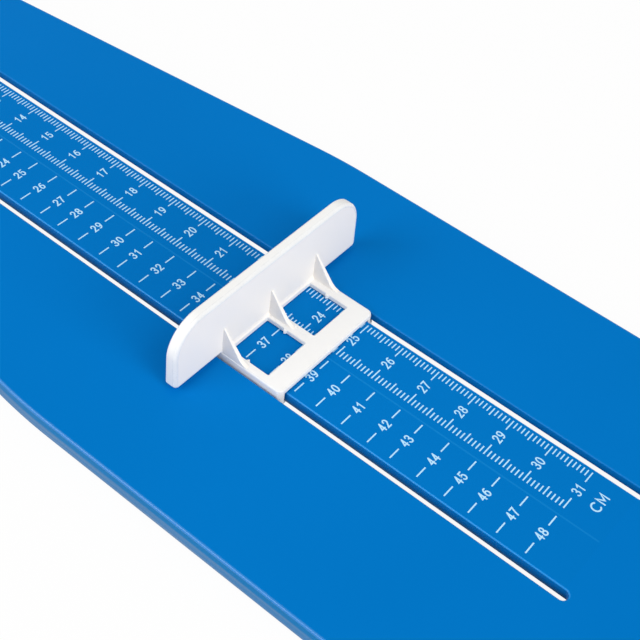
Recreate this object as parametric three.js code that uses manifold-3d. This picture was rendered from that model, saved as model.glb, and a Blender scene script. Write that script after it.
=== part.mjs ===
// Foot measuring device: a moulded board with a heel cup and a ruler strip, and a slider that meets the toes.
// Units are millimetres. +X runs from heel to toe, +Y across the board, +Z up.
// The origin is the bottom centre of the whole object. Places along the board are written as readings of
// the printed scale and turned into X by atScale.
import * as THREE from 'three';
import { mergeVertices, mergeGeometries } from 'three/addons/utils/BufferGeometryUtils.js';
import Module from 'manifold-3d';

const wasm = await Module();
wasm.setup();

// Scale and travel of the slider, as readings in millimetres
const readingAtRest = 237.7;
const readingMin = 110;

// Board
const boardLength = 356.4;
const boardHalfWidth = 54.55;
const boardHeight = 5.5;
const plateThickness = 2.05;
const rimWall = 2.2;
const topEdgeRadius = 0.55;
const bottomEdgeRadius = 0.4;
const taperStart = 210;
const taperSlope = 0.1;
const taperBlendRadius = 150;
const toeMargin = 21;
const toeCornerRadius = 20;

// Ruler strip and the slots on both sides of it
const stripHalfWidth = 14.4;
const stripThickness = 2.85;
const stripRunOut = 10.5;
const slotWidth = 2.6;
const slotEdgeRadius = 0.3;
const slotEndGap = 0.8;

// Heel cup
const cupWall = 2.8;
const cupInset = 2.0;
const cupHeight = 30;
const cupEndHeight = 3.4;
const cupRimRadius = 1.1;
const cupFootRadius = 1.8;
const cupLength = 78;
const cupFallLength = 52;
const cupDraft = 0.35;
const cupNoseLength = 5;
const cupRoot = 0.8;

// Ribs under the board
const ribWidth = 1.5;
const ribRecess = 0.3;
const slotRibOffset = 3.4;
const crossRibPitch = 29;

// How far the parts of one moulding run into each other
const weld = 0.4;

// Slider
const pointerOffset = 8.8;
const fenceThickness = 3.1;
const fenceHalfLength = 31.1;
const fenceHeight = 18.3;
const fenceLean = 0.25;
const fenceEndLean = 0.35;
const fenceCornerRadius = 8.4;
const fenceLowCornerRadius = 1.4;
const fenceFrontEdgeRadius = 0.95;
const fenceEdgeRadius = 0.45;
const wingClearance = 1.0;
const frameLength = 20.1;
const frameThickness = 1.1;
const frameCornerRadius = 1.5;
const frameEdgeRadius = 0.45;
const frontBarWidth = 5.4;
const windowLedge = 0.4;
const nearWindow = [-14.2, -1.5];
const farWindow = [1.5, 13.45];
const footFilletHeight = 0.9;
const ribThickness = 1.2;
const ribTipThickness = 0.6;
const ribHeight = 7.5;
const ribLength = 7.2;
const ribSpacing = 15.7;
const indexWidth = 1.1;
const indexDepth = 0.65;
const indexRecess = 0.1;
const legThickness = 1.7;
const slideGap = 0.3;
const sideGap = 0.35;

// Snap tabs on the legs and the keeper plate under the strip
const tabLength = 5;
const tabInset = 2.6;
const tabGap = 0.3;
const barbReach = 0.7;
const barbHeight = 0.65;
const barbLead = 0.2;
const keeperThickness = 1.3;
const keeperLedge = 1.85;
const keeperInset = 0.5;
const keeperCornerRadius = 2;
const keeperEdgeRadius = 0.3;
const keeperStiffener = 0.6;
const stiffenerInset = 2;

// Rubber feet
const footRadius = 5;
const footProud = 0.6;
const footRecess = 0.9;
const footWall = 1.6;
const seatGap = 0.3;
const footEdgeRadius = 0.4;
const footMargin = 1.5;
const heelFootOffset = 8;
const middleFootOffset = -3;
const toeFootOffset = 2;

// Places that follow from the sizes above
const taperAngle = Math.atan(taperSlope);
const cupSetback = cupInset + cupWall;
const heelWallAt = -pointerOffset;
const slotOuter = stripHalfWidth + slotWidth;
const slotCentre = stripHalfWidth + slotWidth / 2;
const legInner = stripHalfWidth + sideGap;
const frameHalfWidth = legInner + legThickness;
const heelEnd = heelWallAt - cupSetback;
const toeEnd = heelEnd + boardLength;
const slotStart = readingMin - pointerOffset - slotEndGap;
const slotEnd = toeEnd - toeMargin;

// The heel end is a circle that touches both tapered sides, with its centre set so that the cup's inner
// wall lies where the scale begins.
const heelRadius = (boardHalfWidth - taperSlope * (taperStart - heelWallAt + cupSetback)) * Math.cos(taperAngle)
  / (1 - taperSlope * Math.cos(taperAngle));
const heelCentre = heelEnd + heelRadius;

const boardTop = footProud + boardHeight;
const scaleMiddle = (heelEnd + toeEnd) / 2;
const atScale = (reading) => reading - scaleMiddle;

// Geometry helpers

function toSolid(geometry) {
  const plain = new THREE.BufferGeometry();
  plain.setAttribute('position', geometry.getAttribute('position'));
  if (geometry.index) plain.setIndex(geometry.index);
  const merged = mergeVertices(plain, 1e-4);
  return new wasm.Manifold(new wasm.Mesh({
    numProp: 3,
    vertProperties: new Float32Array(merged.getAttribute('position').array),
    triVerts: new Uint32Array(merged.index.array),
  }));
}

function toGeometry(solid) {
  const mesh = solid.getMesh();
  const geometry = new THREE.BufferGeometry();
  geometry.setAttribute('position', new THREE.BufferAttribute(new Float32Array(mesh.vertProperties), 3));
  geometry.setIndex(new THREE.BufferAttribute(new Uint32Array(mesh.triVerts), 1));
  return geometry;
}

// A closed skin through equal rings of points, with flat ends
function loft(rings) {
  const count = rings[0].length;
  const positions = rings.flat().flatMap((point) => [point.x, point.y, point.z]);
  const index = [];
  for (let level = 0; level < rings.length - 1; level += 1) {
    for (let i = 0; i < count; i += 1) {
      const a = level * count + i;
      const b = level * count + (i + 1) % count;
      index.push(a, b, a + count, b, b + count, a + count);
    }
  }
  return { positions, index, count, last: (rings.length - 1) * count };
}

function closeLoft(skin, endTriangles) {
  const { positions, index, last } = skin;
  for (const [a, b, c] of endTriangles) {
    index.push(a, c, b);
    index.push(last + a, last + b, last + c);
  }
  const geometry = new THREE.BufferGeometry();
  geometry.setAttribute('position', new THREE.Float32BufferAttribute(positions, 3));
  geometry.setIndex(index);
  return geometry;
}

// A slab whose outline is drawn in or let out at each level: levels are [inset, z], from the bottom up
function levelledSlab(outline, levels) {
  const rings = levels.map(([inset, z]) => insetOutline(outline, inset)
    .map((point) => new THREE.Vector3(point.x, point.y, z)));
  const flat = outline.map((point) => new THREE.Vector2(point.x, point.y));
  return closeLoft(loft(rings), THREE.ShapeUtils.triangulateShape(flat, []));
}

// The outline moved inwards by the same distance on every side; it runs counter-clockwise
function insetOutline(outline, inset) {
  if (inset === 0) return outline;
  const count = outline.length;
  return outline.map((point, i) => {
    const before = outline[(i + count - 1) % count];
    const after = outline[(i + 1) % count];
    const into = new THREE.Vector2(point.x - before.x, point.y - before.y).normalize();
    const out = new THREE.Vector2(after.x - point.x, after.y - point.y).normalize();
    const bisector = new THREE.Vector2(-into.y - out.y, into.x + out.x).normalize();
    const reach = inset / Math.max(0.2, bisector.dot(new THREE.Vector2(-into.y, into.x)));
    return new THREE.Vector2(point.x + bisector.x * reach, point.y + bisector.y * reach);
  });
}

// Levels of a rounded edge: an arc from the side (inset 0) to the flat (inset = radius)
function roundedEdge(radius, zFlat, direction, steps) {
  const levels = [];
  for (let i = 0; i <= steps; i += 1) {
    const angle = (i / steps) * Math.PI / 2;
    const inset = radius * (1 - Math.cos(angle));
    levels.push([inset, zFlat - direction * radius * (1 - Math.sin(angle))]);
  }
  return direction > 0 ? levels : levels.reverse();
}

// A prism from a shape in the XY plane
function prism(shape, zLow, zHigh, curveSegments = 8) {
  const geometry = new THREE.ExtrudeGeometry(shape, {
    depth: zHigh - zLow, bevelEnabled: false, curveSegments,
  });
  geometry.translate(0, 0, zLow);
  return geometry;
}

function box(xLow, xHigh, yLow, yHigh, zLow, zHigh) {
  const geometry = new THREE.BoxGeometry(xHigh - xLow, yHigh - yLow, zHigh - zLow);
  geometry.translate((xLow + xHigh) / 2, (yLow + yHigh) / 2, (zLow + zHigh) / 2);
  return toSolid(geometry);
}

function roundedRectangle(xLow, xHigh, yLow, yHigh, radii, steps) {
  const [r00, r10, r11, r01] = radii;
  const corners = [
    [xHigh - r10, yLow + r10, r10, -90],
    [xHigh - r11, yHigh - r11, r11, 0],
    [xLow + r01, yHigh - r01, r01, 90],
    [xLow + r00, yLow + r00, r00, 180],
  ];
  const outline = [];
  for (const [x, y, radius, start] of corners) {
    const count = radius > 0 ? steps : 0;
    for (let i = 0; i <= count; i += 1) {
      const angle = THREE.MathUtils.degToRad(start + (count ? 90 * i / count : 0));
      outline.push(new THREE.Vector2(x + radius * Math.cos(angle), y + radius * Math.sin(angle)));
    }
  }
  return outline;
}

// A long outline with a half circle at each end, counter-clockwise
function stadium(xLow, xHigh, yMiddle, width, steps) {
  const radius = width / 2;
  const outline = [];
  for (const [x, start] of [[xHigh - radius, -Math.PI / 2], [xLow + radius, Math.PI / 2]]) {
    for (let i = 0; i <= steps; i += 1) {
      const angle = start + (i / steps) * Math.PI;
      outline.push(new THREE.Vector2(x + radius * Math.cos(angle), yMiddle + radius * Math.sin(angle)));
    }
  }
  return outline;
}

// Board outline, counter-clockwise, in scale readings and distances from the centre line
function boardOutline() {
  const half = [];
  const cornerSteps = 10;
  for (let i = 0; i <= cornerSteps; i += 1) {
    const angle = (i / cornerSteps) * Math.PI / 2;
    half.push([
      toeEnd - toeCornerRadius + toeCornerRadius * Math.cos(angle),
      boardHalfWidth - toeCornerRadius + toeCornerRadius * Math.sin(angle),
    ]);
  }
  const blendSteps = 4;
  const blendStart = taperStart + taperBlendRadius * Math.tan(taperAngle / 2);
  for (let i = 0; i <= blendSteps; i += 1) {
    const angle = (i / blendSteps) * taperAngle;
    half.push([
      blendStart - taperBlendRadius * Math.sin(angle),
      boardHalfWidth - taperBlendRadius * (1 - Math.cos(angle)),
    ]);
  }
  const heelSteps = 24;
  for (let i = 0; i < heelSteps; i += 1) {
    const angle = Math.PI / 2 + taperAngle + (i / heelSteps) * (Math.PI / 2 - taperAngle);
    half.push([heelCentre + heelRadius * Math.cos(angle), heelRadius * Math.sin(angle)]);
  }
  const far = half.map(([x, y]) => new THREE.Vector2(atScale(x), y));
  const tip = new THREE.Vector2(atScale(heelEnd), 0);
  const near = half.map(([x, y]) => new THREE.Vector2(atScale(x), -y)).reverse();
  return [...far, tip, ...near];
}

// A slot with round ends; its mouth on the board's top has a rounded edge
function slotCutter(side) {
  const outline = stadium(atScale(slotStart), atScale(slotEnd), side * slotCentre, slotWidth, 8);
  const levels = [[0, 0], [0, boardTop - slotEdgeRadius]];
  const steps = 3;
  for (let i = 1; i <= steps; i += 1) {
    const angle = (i / steps) * Math.PI / 2;
    levels.push([-slotEdgeRadius * (1 - Math.cos(angle)), boardTop - slotEdgeRadius * (1 - Math.sin(angle))]);
  }
  levels.push([-slotEdgeRadius, boardTop + 1]);
  return toSolid(levelledSlab(outline, levels));
}

// Where the rubber feet sit: near the heel, the middle and the toe, on both sides
function footPlaces() {
  const footInset = rimWall + footWall + footRadius + footMargin;
  const halfWidthAt = (reading) => boardHalfWidth - taperSlope * Math.max(0, taperStart - reading);
  const readings = [
    heelCentre + heelFootOffset,
    (heelCentre + toeEnd) / 2 + middleFootOffset,
    toeEnd - toeCornerRadius + toeFootOffset,
  ];
  return readings.flatMap((reading) => [-1, 1].map((side) => ({
    x: atScale(reading),
    y: side * (halfWidthAt(reading) - footInset),
  })));
}

// The ribs under the board: one beside each slot, and cross ribs out to the rim
function underRibs() {
  const bottom = footProud + ribRecess;
  const top = boardTop - plateThickness / 2;
  const slotRib = slotOuter + slotRibOffset;
  const ribs = [];
  for (const side of [-1, 1]) {
    const [low, high] = [side * slotRib, side * (slotRib + ribWidth)].sort((a, b) => a - b);
    ribs.push(box(atScale(heelCentre), atScale(toeEnd - rimWall / 2), low, high, bottom, top));
  }
  const ribbedLength = toeEnd - rimWall - heelCentre;
  const crossCount = Math.max(2, Math.round(ribbedLength / crossRibPitch));
  for (let i = 0; i < crossCount; i += 1) {
    const reading = heelCentre + i * ribbedLength / crossCount;
    const x = atScale(reading);
    const beyondSlots = reading + ribWidth < slotStart || reading - ribWidth > slotEnd;
    if (beyondSlots) {
      ribs.push(box(x, x + ribWidth, -boardHalfWidth, boardHalfWidth, bottom, top));
    } else {
      ribs.push(box(x, x + ribWidth, slotRib, boardHalfWidth, bottom, top));
      ribs.push(box(x, x + ribWidth, -boardHalfWidth, -slotRib, bottom, top));
    }
  }
  for (const place of footPlaces()) {
    const boss = new THREE.CylinderGeometry(footRadius + footWall, footRadius + footWall, top - footProud, 24);
    boss.rotateX(Math.PI / 2);
    boss.translate(place.x, place.y, (top + footProud) / 2);
    ribs.push(toSolid(boss));
  }
  return ribs;
}

// The heel cup: one wall section carried round the heel, rooted in the plate. At both front ends it is low,
// and its nose sinks below the surface, which squash sets as a share of the section's height.
function cupSection(height, inward, along, squash = 1) {
  const profile = [[-cupFootRadius, -cupRoot], [-cupFootRadius, 0]];
  const steps = 4;
  for (let i = 1; i <= steps; i += 1) {
    const angle = (i / steps) * Math.PI / 2;
    profile.push([-cupFootRadius * (1 - Math.sin(angle)), cupFootRadius * (1 - Math.cos(angle))]);
  }
  const rimSteps = 6;
  const lean = cupDraft * height / cupHeight;
  const rimHalf = cupWall / 2 - lean;
  const rimRise = Math.min(cupRimRadius, rimHalf);
  for (let i = 0; i <= rimSteps; i += 1) {
    const angle = Math.PI - (i / rimSteps) * Math.PI;
    profile.push([
      cupWall / 2 + rimHalf * Math.cos(angle),
      height - rimRise + rimRise * Math.sin(angle),
    ]);
  }
  profile.push([cupWall, 0], [cupWall, -cupRoot]);
  return profile.map(([out, z]) => new THREE.Vector3(
    along.x - inward.x * out, along.y - inward.y * out, boardTop - cupRoot + (z + cupRoot) * squash,
  ));
}

function heelCup() {
  const radius = heelRadius - cupSetback;
  const sideLength = cupLength - radius;
  const stations = [];
  const sideSteps = 12;
  const arcSteps = 28;
  const tangent = Math.PI / 2 + taperAngle;
  const onSide = (side, distance, noseShare = 0) => ({
    noseShare,
    x: atScale(heelCentre) + radius * Math.cos(tangent) + distance * Math.cos(taperAngle),
    y: side * (radius * Math.sin(tangent) + distance * Math.sin(taperAngle)),
    inward: new THREE.Vector2(-Math.cos(tangent), -side * Math.sin(tangent)),
  });
  const noseSteps = 6;
  const onNose = (side, i) => onSide(side, sideLength + cupNoseLength * i / noseSteps, i / noseSteps);
  for (let i = noseSteps; i > 0; i -= 1) stations.push(onNose(1, i));
  for (let i = 0; i < sideSteps; i += 1) stations.push(onSide(1, sideLength * (1 - i / sideSteps)));
  for (let i = 0; i <= arcSteps; i += 1) {
    const angle = tangent + (i / arcSteps) * 2 * (Math.PI - tangent);
    stations.push({
      noseShare: 0,
      x: atScale(heelCentre) + radius * Math.cos(angle),
      y: radius * Math.sin(angle),
      inward: new THREE.Vector2(-Math.cos(angle), -Math.sin(angle)),
    });
  }
  for (let i = 1; i <= sideSteps; i += 1) stations.push(onSide(-1, sideLength * i / sideSteps));
  for (let i = 1; i <= noseSteps; i += 1) stations.push(onNose(-1, i));
  const front = atScale(heelWallAt + cupLength);
  const sunk = 0.25 * cupRoot;
  const rings = stations.map((station) => {
    const fall = THREE.MathUtils.clamp((front - station.x) / cupFallLength, 0, 1);
    const eased = fall * fall * (3 - 2 * fall);
    const height = cupEndHeight + (cupHeight - cupEndHeight) * eased;
    const left = Math.sqrt(1 - station.noseShare ** 2);
    const squash = (cupRoot - sunk + (cupEndHeight + sunk) * left) / (cupEndHeight + cupRoot);
    return cupSection(height, station.inward, station, squash);
  });
  const end = cupSection(cupEndHeight, new THREE.Vector2(1, 0), new THREE.Vector2(0, 0));
  const flat = end.map((point) => new THREE.Vector2(point.x, point.z));
  const triangles = THREE.ShapeUtils.triangulateShape(flat, []);
  return toSolid(closeLoft(loft(rings), triangles));
}

function makeBaseBoard() {
  const outline = boardOutline();
  const levels = [
    ...roundedEdge(bottomEdgeRadius, footProud, -1, 2),
    ...roundedEdge(topEdgeRadius, boardTop, 1, 4),
  ];
  const slab = toSolid(levelledSlab(outline, levels));
  const underside = boardTop - plateThickness;
  let hollow = toSolid(levelledSlab(insetOutline(outline, rimWall), [[0, -1], [0, underside]]));
  hollow = hollow.subtract(box(
    atScale(slotStart) - stripRunOut, atScale(slotEnd) + stripRunOut,
    -stripHalfWidth, stripHalfWidth, boardTop - stripThickness, boardTop,
  ));
  for (const rib of underRibs()) hollow = hollow.subtract(rib);
  let board = slab.subtract(hollow).add(heelCup());
  for (const side of [-1, 1]) board = board.subtract(slotCutter(side));
  for (const place of footPlaces()) {
    const pocket = new THREE.CylinderGeometry(footRadius + seatGap, footRadius + seatGap, footRecess + 1, 24);
    pocket.rotateX(Math.PI / 2);
    pocket.translate(place.x, place.y, footProud + (footRecess - 1) / 2);
    board = board.subtract(toSolid(pocket));
  }
  return toGeometry(board);
}

// Slider: fence, frame with two windows, gusset ribs, index points and legs
const sliderBack = atScale(readingAtRest) - pointerOffset;
const sliderFront = sliderBack + frameLength;
const fenceFront = sliderBack + fenceThickness;
const frameBottom = boardTop + slideGap;
const frameTop = frameBottom + frameThickness;

// The fence thins towards its top by the same lean on both faces and shortens by another lean at both ends.
// Its edges are rounded all round, and a square foot carries it on the frame
function makeFence() {
  const outline = roundedRectangle(
    -fenceHalfLength, fenceHalfLength, wingClearance, fenceHeight,
    [fenceLowCornerRadius, fenceLowCornerRadius, fenceCornerRadius, fenceCornerRadius], 9,
  );
  const levels = [
    ...roundedEdge(fenceEdgeRadius, 0, -1, 2),
    ...roundedEdge(fenceFrontEdgeRadius, fenceThickness, 1, 4),
  ];
  const geometry = levelledSlab(outline, levels);
  const place = geometry.getAttribute('position');
  for (let i = 0; i < place.count; i += 1) {
    const rise = place.getY(i) / fenceHeight;
    place.setX(i, place.getX(i) * (1 - rise * fenceEndLean / fenceHalfLength));
    place.setZ(i, place.getZ(i) * (1 - 2 * rise * fenceLean / fenceThickness) + rise * fenceLean);
  }
  geometry.applyMatrix4(new THREE.Matrix4().makeBasis(
    new THREE.Vector3(0, 1, 0), new THREE.Vector3(0, 0, 1), new THREE.Vector3(1, 0, 0),
  ));
  geometry.translate(sliderBack, 0, boardTop);
  const footTop = boardTop + wingClearance + fenceFrontEdgeRadius;
  const foot = box(sliderBack, fenceFront, -frameHalfWidth, frameHalfWidth, frameBottom, footTop);
  return toSolid(geometry).add(foot);
}

function makeFrame() {
  const corners = [0, frameCornerRadius, frameCornerRadius, 0];
  const outline = roundedRectangle(
    sliderBack, sliderFront, -frameHalfWidth, frameHalfWidth, corners, 4,
  );
  let frame = toSolid(levelledSlab(outline, [
    [0, frameBottom],
    ...roundedEdge(frameEdgeRadius, frameTop, 1, 2),
  ]));
  for (const [low, high] of [nearWindow, farWindow]) {
    frame = frame.subtract(box(
      fenceFront + windowLedge, sliderFront - frontBarWidth, low, high, frameBottom - 1, frameTop + 1,
    ));
  }
  return frame;
}

// The concave fillet where the toe face runs down to the windows
function makeFootFillet() {
  const profile = new THREE.Shape();
  profile.moveTo(-weld, -weld);
  profile.lineTo(windowLedge, -weld);
  profile.lineTo(windowLedge, 0.1);
  profile.quadraticCurveTo(windowLedge * 0.2, footFilletHeight * 0.3, 0, footFilletHeight);
  profile.lineTo(-weld, footFilletHeight);
  profile.closePath();
  const geometry = prism(profile, 0, 2 * ribSpacing, 4);
  geometry.rotateX(Math.PI / 2);
  geometry.translate(fenceFront, ribSpacing, frameTop);
  return toSolid(geometry);
}

// Gusset ribs, thinner towards the top
function makeGussets() {
  const profile = new THREE.Shape();
  profile.moveTo(-weld, -weld);
  profile.lineTo(ribLength, -weld);
  profile.lineTo(ribLength, 0);
  profile.quadraticCurveTo(ribLength * 0.78, ribHeight * 0.03, ribLength * 0.64, ribHeight * 0.2);
  profile.lineTo(0, ribHeight);
  profile.lineTo(-weld, ribHeight);
  profile.closePath();
  return [-ribSpacing, 0, ribSpacing].map((y) => {
    const geometry = prism(profile, 0, ribThickness, 5);
    geometry.rotateX(Math.PI / 2);
    geometry.translate(0, ribThickness / 2, 0);
    const place = geometry.getAttribute('position');
    for (let i = 0; i < place.count; i += 1) {
      const rise = Math.max(0, place.getZ(i)) / ribHeight;
      place.setY(i, place.getY(i) * (1 - rise * (1 - ribTipThickness / ribThickness)));
    }
    geometry.translate(fenceFront, y, frameTop);
    return toSolid(geometry);
  });
}

// Small triangles on the window edges that point at the reading
function makeIndexPoints() {
  const edges = [[nearWindow[0], 1], [nearWindow[1], -1], [farWindow[1], -1]];
  return edges.map(([y, direction]) => {
    const x = atScale(readingAtRest);
    const shape = new THREE.Shape([
      new THREE.Vector2(x - indexWidth / 2, y - direction * weld),
      new THREE.Vector2(x + indexWidth / 2, y - direction * weld),
      new THREE.Vector2(x + indexWidth / 2, y),
      new THREE.Vector2(x, y + direction * indexDepth),
      new THREE.Vector2(x - indexWidth / 2, y),
    ]);
    return toSolid(prism(shape, frameBottom, frameTop - indexRecess));
  });
}

// Tab places along a leg, measured from the back of the slider
const tabStarts = [tabInset, frameLength - tabInset - tabLength];
const keeperTop = boardTop - stripThickness - slideGap;
const keeperBottom = keeperTop - keeperThickness;

function makeLegs() {
  const pieces = [];
  for (const side of [-1, 1]) {
    const [low, high] = [side * legInner, side * frameHalfWidth].sort((a, b) => a - b);
    const near = side < 0;
    const corners = [0, near ? frameCornerRadius : 0, near ? 0 : frameCornerRadius, 0];
    const outline = roundedRectangle(sliderBack, sliderFront, low, high, corners, 4);
    pieces.push(toSolid(levelledSlab(outline, [[0, keeperTop + seatGap], [0, frameBottom + weld]])));
    for (const start of tabStarts) {
      const barb = new THREE.Shape([
        new THREE.Vector2(legInner, keeperTop + seatGap + weld),
        new THREE.Vector2(legInner, keeperBottom - seatGap - barbHeight),
        new THREE.Vector2(frameHalfWidth - barbLead, keeperBottom - seatGap - barbHeight),
        new THREE.Vector2(frameHalfWidth + barbReach, keeperBottom - seatGap - barbLead),
        new THREE.Vector2(frameHalfWidth + barbReach, keeperBottom - seatGap),
        new THREE.Vector2(frameHalfWidth, keeperBottom - seatGap),
        new THREE.Vector2(frameHalfWidth, keeperTop + seatGap + weld),
      ]);
      const geometry = prism(barb, 0, tabLength);
      geometry.applyMatrix4(new THREE.Matrix4().makeBasis(
        new THREE.Vector3(0, 1, 0), new THREE.Vector3(0, 0, 1), new THREE.Vector3(1, 0, 0),
      ));
      if (side < 0) geometry.rotateZ(Math.PI);
      const x = sliderBack + start + (side < 0 ? tabLength : 0);
      geometry.translate(x, 0, 0);
      pieces.push(toSolid(geometry));
    }
  }
  return pieces;
}

function makeSlider() {
  let slider = makeFence().add(makeFrame()).add(makeFootFillet());
  for (const piece of [...makeGussets(), ...makeIndexPoints(), ...makeLegs()]) slider = slider.add(piece);
  return toGeometry(slider);
}

// Keeper: a flat plate under the strip with a window for each snap tab and two stiffening ribs
function makeKeeper() {
  const halfWidth = frameHalfWidth + tabGap + keeperLedge;
  const outline = roundedRectangle(
    sliderBack + keeperInset, sliderFront - keeperInset, -halfWidth, halfWidth,
    Array(4).fill(keeperCornerRadius), 5,
  );
  let keeper = toSolid(levelledSlab(outline, [
    ...roundedEdge(keeperEdgeRadius, keeperBottom, -1, 2),
    ...roundedEdge(keeperEdgeRadius, keeperTop, 1, 2),
  ]));
  for (const side of [-1, 1]) {
    const y = side * (legInner + legThickness / 2);
    for (const start of tabStarts) {
      const x = sliderBack + start;
      keeper = keeper.subtract(box(
        x - tabGap, x + tabLength + tabGap, y - legThickness / 2 - tabGap, y + legThickness / 2 + tabGap,
        keeperBottom - 1, keeperTop + 1,
      ));
    }
  }
  for (const start of tabStarts) {
    const x = sliderBack + start + tabLength / 2;
    keeper = keeper.add(box(
      x - ribWidth / 2, x + ribWidth / 2, stiffenerInset - legInner, legInner - stiffenerInset,
      keeperBottom - keeperStiffener, keeperBottom + weld,
    ));
  }
  return toGeometry(keeper);
}

function makeFoot(place) {
  const height = footProud + footRecess - seatGap;
  const r = footEdgeRadius;
  const profile = [
    new THREE.Vector2(0, 0),
    new THREE.Vector2(footRadius - r, 0),
    new THREE.Vector2(footRadius - r * 0.3, r * 0.3),
    new THREE.Vector2(footRadius, r),
    new THREE.Vector2(footRadius, height),
    new THREE.Vector2(0, height),
  ];
  const geometry = new THREE.LatheGeometry(profile, 24);
  geometry.rotateX(Math.PI / 2);
  geometry.translate(place.x, place.y, 0);
  return toGeometry(toSolid(geometry));
}

// Materials
const bluePlastic = new THREE.MeshStandardMaterial({ color: 0x0272c2, roughness: 0.35, metalness: 0 });
const whitePlastic = new THREE.MeshStandardMaterial({ color: 0xf1f2f2, roughness: 0.4, metalness: 0 });
const rubber = new THREE.MeshStandardMaterial({ color: 0x3a3d40, roughness: 0.85, metalness: 0 });

function named(name, geometry, material) {
  const mesh = new THREE.Mesh(geometry, material);
  mesh.name = name;
  return mesh;
}

const device = new THREE.Group();
device.add(named('base_board', makeBaseBoard(), bluePlastic));

const sliding = new THREE.Group();
sliding.add(named('slider', makeSlider(), whitePlastic));
sliding.add(named('slider_keeper', makeKeeper(), whitePlastic));
device.add(sliding);

footPlaces().forEach((place, i) => {
  device.add(named(`rubber_foot_${i + 1}`, makeFoot(place), rubber));
});

export default device;
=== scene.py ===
import math

import bmesh
import bpy
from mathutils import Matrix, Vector
from mathutils.geometry import tessellate_polygon


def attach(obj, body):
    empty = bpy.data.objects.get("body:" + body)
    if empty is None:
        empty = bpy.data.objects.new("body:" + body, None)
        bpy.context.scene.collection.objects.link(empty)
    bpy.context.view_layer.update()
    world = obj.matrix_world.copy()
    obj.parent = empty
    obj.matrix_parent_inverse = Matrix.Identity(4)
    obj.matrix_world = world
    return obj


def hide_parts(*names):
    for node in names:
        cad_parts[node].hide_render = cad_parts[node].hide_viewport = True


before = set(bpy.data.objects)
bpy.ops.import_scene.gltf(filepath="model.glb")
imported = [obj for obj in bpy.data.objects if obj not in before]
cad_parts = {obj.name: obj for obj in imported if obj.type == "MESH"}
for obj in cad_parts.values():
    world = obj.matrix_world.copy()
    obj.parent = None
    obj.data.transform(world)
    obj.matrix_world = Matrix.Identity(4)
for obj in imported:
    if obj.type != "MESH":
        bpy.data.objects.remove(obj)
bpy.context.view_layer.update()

MM = 0.001

# Sizes in millimetres, as in the CAD model: the scale and the board
SCALE_MIDDLE = 164.6
READING_AT_REST = 237.7
READING_MIN = 110
READING_MAX = 310
POINTER_OFFSET = 8.8
BOARD_TOP = 6.1
BOARD_HALF_WIDTH = 54.55
BOARD_LENGTH = 356.4
PLATE = 2.05
RIM_WALL = 2.2
TOP_EDGE = 0.55
BOTTOM_EDGE = 0.4
TAPER_START = 210
TAPER_SLOPE = 0.1
TAPER_BLEND = 150
TOE_MARGIN = 21
TOE_CORNER = 20

# The ruler strip and the slots beside it
STRIP_HALF = 14.4
STRIP_THICKNESS = 2.85
STRIP_RUN_OUT = 10.5
SLOT_WIDTH = 2.6
SLOT_EDGE = 0.3
SLOT_END_GAP = 0.8

# The ribs under the board: cross ribs reach into the rim and lap the ribs beside the slots
BOARD_RIB = 1.5
BOARD_RIB_RECESS = 0.3
BOARD_RIB_REACH = 1.0
BOARD_RIB_LAP = 0.7
SLOT_RIB_OFFSET = 3.4
CROSS_RIB_PITCH = 29

# The rubber feet, with pairs of inset and height round their lower edge, and the bosses that hold them
FOOT_RADIUS = 5
FOOT_PROUD = 0.6
FOOT_RECESS = 0.9
FOOT_EDGE = [(0.45, 0), (0.25, 0.06), (0.08, 0.2), (0, 0.42)]
FOOT_WALL = 1.6
FOOT_MARGIN = 1.5
HEEL_FOOT_OFFSET = 8
MIDDLE_FOOT_OFFSET = -3
TOE_FOOT_OFFSET = 2
BOSS_EDGE = 0.15
POCKET_EDGE = 0.1
CUTTER_LIP = 0.01
CUTTER_DEPTH = 1

# The heel cup
CUP_WALL = 2.8
CUP_INSET = 2.0
CUP_HEIGHT = 30
CUP_END_HEIGHT = 3.4
CUP_LENGTH = 78
CUP_FALL = 52
CUP_FOOT_RADIUS = 1.8
CUP_RIM_RADIUS = 1.1
CUP_DRAFT = 0.35
CUP_NOSE = 5.0
CUP_NOSE_SINK = 0.2
CUP_ROOT = 0.8
CUP_FOOT_SINK = 0.01

# The slider's fence and frame, with the fillet's bend as shares of its width and height
FENCE_THICKNESS = 3.1
FENCE_HALF = 31.1
FENCE_HEIGHT = 18.3
FENCE_LEAN = 0.25
FENCE_END_LEAN = 0.35
FENCE_CORNER = 8.4
FENCE_LOW_CORNER = 1.4
FENCE_FRONT_EDGE = 0.95
FENCE_BACK_EDGE = 0.45
WING_CLEARANCE = 1.0
FRAME_LENGTH = 20.1
FRAME_THICKNESS = 1.1
FRAME_CORNER = 1.5
FRAME_EDGE = 0.45
FRONT_BAR = 5.4
WINDOW_LEDGE = 0.4
WINDOW_CORNER = 0.25
WINDOW_EDGE = 0.18
NEAR_WINDOW = (-14.2, -1.5)
FAR_WINDOW = (1.5, 13.45)
FILLET = 0.9
FILLET_ROOT = 0.3
FILLET_BEND = (0.2, 0.3)

# Its ribs: knee and sweep are shares of a rib's length and height, where its slope eases into a flat run-out
RIB = 1.2
RIB_TIP = 0.6
RIB_HEIGHT = 7.5
RIB_LENGTH = 7.2
RIB_SPACING = 15.7
RIB_KNEE = (0.64, 0.2)
RIB_SWEEP = (0.78, 0.03)
RIB_BACK_ROOT = 0.5
RIB_LOW_ROOT = 0.4
RIB_EDGE = 0.1
RIB_SLOPE_STEPS = 8

# Its index points
INDEX_WIDTH = 1.1
INDEX_DEPTH = 0.65
INDEX_ROOT = 0.3
INDEX_RECESS = 0.05

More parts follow.
